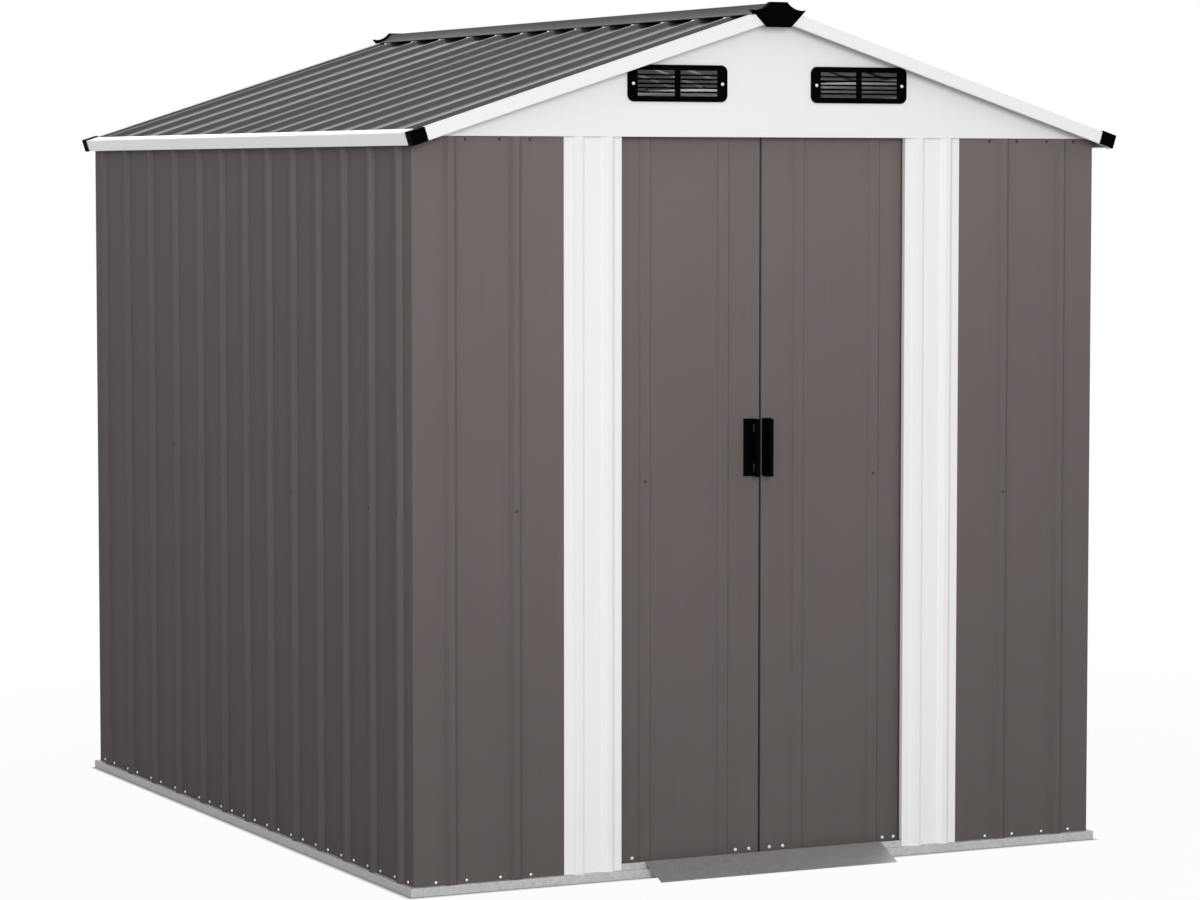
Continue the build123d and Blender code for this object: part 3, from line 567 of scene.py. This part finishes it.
def fixings():
    depth, crest, foot, head = shed["depth"], shed["ribHeight"], fixing["foot"], fixing["head"]
    outer, mid, rearMid = -shed["halfWidth"], fixing["mid"], fixing["rearMid"]
    bothSides = ((1, 1, 1), (-1, 1, 1))
    forward, left, backward = (0, -1, 0), (-1, 0, 0), (0, 1, 0)
    frontRibs, backRibs = ribPlaces["front"], ribPlaces["back"]
    sideRibs = np.r_[ribPlaces["sideFront"], ribPlaces["sideRear"]]
    pairs = ((ribs[:, None] + fixing["besideRib"]).ravel() for ribs in (frontRibs, sideRibs, backRibs))
    frontRow, sideRow, backRow = pairs
    footRows = [
        (spots(frontRow, 0, foot), forward),
        (spots(outer, sideRow, foot), left),
        (spots(backRow, depth, foot), backward),
    ]
    addScrews("footScrews", footRows, fixing["steel"], mirrors=bothSides)
    wallRows = [
        (spots(frontRow, 0, head), forward),
        (spots(frontRibs[fixing["frontRibs"]], -crest, mid), forward),
        (spots(outer - crest, ribPlaces["sideFront"][fixing["sideRibs"]], mid), left),
        (spots(outer - crest, ribPlaces["sideRear"][fixing["sideRearRibs"]], rearMid), left),
        (spots(backRibs[fixing["backRibs"]], depth + crest, rearMid), backward),
        (spots(backRow, depth, head), backward),
    ]
    addScrews("wallScrews", wallRows, fixing["brown"], size=fixing["wallSize"], mirrors=bothSides)
    ridgeRow = ridgePoint + fixing["belowRidge"] * slopeDown - shed["sheet"] * slopeUp
    roofRows = [(spots(ridgeRow[0], sideRibs, ridgeRow[2]), slopeUp)]
    addScrews("roofScrews", roofRows, fixing["white"], mirrors=bothSides)
    ventRows = [(spots(fixing["ventRow"], fixing["ventFace"], fixing["ventZ"]), forward)]
    addScrews("ventScrews", ventRows, fixing["steel"], size=fixing["ventSize"], mirrors=bothSides)
    face = door["face"]
    footPlaces = spots(fixing["doorRow"], face, fixing["doorFoot"])
    ribPlace = spots(door["ribs"][0], face - door["ribHeight"], fixing["doorRibZ"])
    for side, sign in (("left", 1), ("right", -1)):
        handlePlaces = spots(fixing[side + "Handle"], face - fixing["handlePlate"], fixing["handleZ"])
        for part, places, look, size in (
            ("DoorFootScrews", footPlaces, "white", fixing["doorSize"]),
            ("DoorRibScrew", ribPlace, "brown", fixing["wallSize"]),
            ("HandleScrews", handlePlaces, "black", fixing["handleSize"]),
        ):
            addScrews(side + part, [(places, forward)], fixing[look], side + "_door", size, ((sign, 1, 1),))


fixings()
print("screws set")

# The floor, in metres: a matt plane that shows white to the camera but keeps a little of the shed's shadow,
# and loses its glow indoors and in a thin band just outside the base rail, where its grey shows real shade
# plus a painted contact shadow
ground = {
    "reach": 60.0, "colour": (0.50, 0.50, 0.50, 1.0), "white": (1.0, 1.0, 1.0, 1.0),
    "glow": 0.96, "fade": (2.4, 4.0),
    "middle": 1.031, "underAcross": (0.862, 0.876), "underAlong": (1.043, 1.057),
}


# Rays that show a surface directly: from the camera, off metal or through glass
def seen(look):
    kinds = ("Is Camera Ray", "Is Glossy Ray", "Is Transmission Ray")
    camera, glossy, through = (look.node("LightPath", output=kind) for kind in kinds)
    return look.node("Clamp", i0=camera + glossy + through)


def paleFloor():
    corners = ground["reach"] * np.array([[-1, -1, 0], [1, -1, 0], [1, 1, 0], [-1, 1, 0]])
    mesh = bpy.data.meshes.new("floor")
    mesh.from_pydata(corners.tolist(), [], [(0, 1, 2, 3)])
    floor = bpy.data.objects.new("floor", mesh)
    scene.collection.objects.link(floor)
    look = Finish(bpy.data.materials.new("paleFloor"))
    matt = look.node("BsdfDiffuse", Color=ground["colour"])
    glow = look.node("Emission", Color=ground["white"], Strength=1.0)
    away = look.node("VectorMath", {"operation": "LENGTH"}, "Value", i0=look.place())
    across = abs(look.node("SeparateXYZ", output="X", Vector=look.place()))
    along = abs(look.node("SeparateXYZ", output="Y", Vector=look.place()) - ground["middle"])
    within = look.between(across, *ground["underAcross"], 1.0, 0.0)
    under = within * look.between(along, *ground["underAlong"], 1.0, 0.0)
    share = look.between(away, *ground["fade"], ground["glow"], 1.0) * (1 - under)
    mixed = look.node("MixShader", i0=seen(look) * share, i1=matt, i2=glow)
    look.node("OutputMaterial", Surface=mixed)
    mesh.materials.append(look.made)


# The sky: white where it is seen, and weaker as light
sky = {"white": (1.0, 1.0, 1.0, 1.0), "light": 0.67}


def skyLight():
    look = Finish(bpy.data.worlds.new("studioSky"))
    mask = seen(look)
    light = look.node("Background", Color=sky["white"], Strength=mask + (1 - mask) * sky["light"])
    look.node("OutputWorld", Surface=light)
    scene.world = look.made


# Round soft lamps, in metres and watts: one in front, a weak one indoors, and a broad one behind for the roof
lamps = {
    "keyLamp": {"place": (-2.2, -8.0, 2.8), "aim": (-0.3, 0.0, 1.0), "size": 3.0, "power": 370.0},
    "insideLamp": {"place": (0.0, 1.0, 1.1), "aim": (0.0, 1.0, 2.0), "size": 1.0, "power": 12.0},
    "backLamp": {"place": (3.2, 8.5, 4.6), "aim": (0.0, 1.0, 1.4), "size": 8.0, "power": 140.0},
}


def softLamp(name, place, aim, size, power):
    data = bpy.data.lights.new(name, "AREA")
    data.shape, data.size, data.energy = "DISK", size, power
    lamp = bpy.data.objects.new(name, data)
    lamp.location = place
    lamp.rotation_euler = (Vector(aim) - Vector(place)).to_track_quat("-Z", "Y").to_euler()
    lamp.visible_camera = False
    scene.collection.objects.link(lamp)


# The camera of the photo, in metres, with its lens and sensor in millimetres
view = {"place": (-4.154, -7.693, 1.537), "aim": (0.4368, 0.8969, -0.0691), "lens": 118.66, "sensor": 36.0}


def photoCamera():
    data = bpy.data.cameras.new("photoCamera")
    data.lens, data.sensor_width, data.sensor_fit = view["lens"], view["sensor"], "HORIZONTAL"
    camera = bpy.data.objects.new("photoCamera", data)
    camera.location = view["place"]
    camera.rotation_euler = Vector(view["aim"]).to_track_quat("-Z", "Y").to_euler()
    scene.collection.objects.link(camera)
    scene.camera = camera


paleFloor()
skyLight()
for name, lamp in lamps.items():
    softLamp(name, **lamp)
photoCamera()
print("studio set")
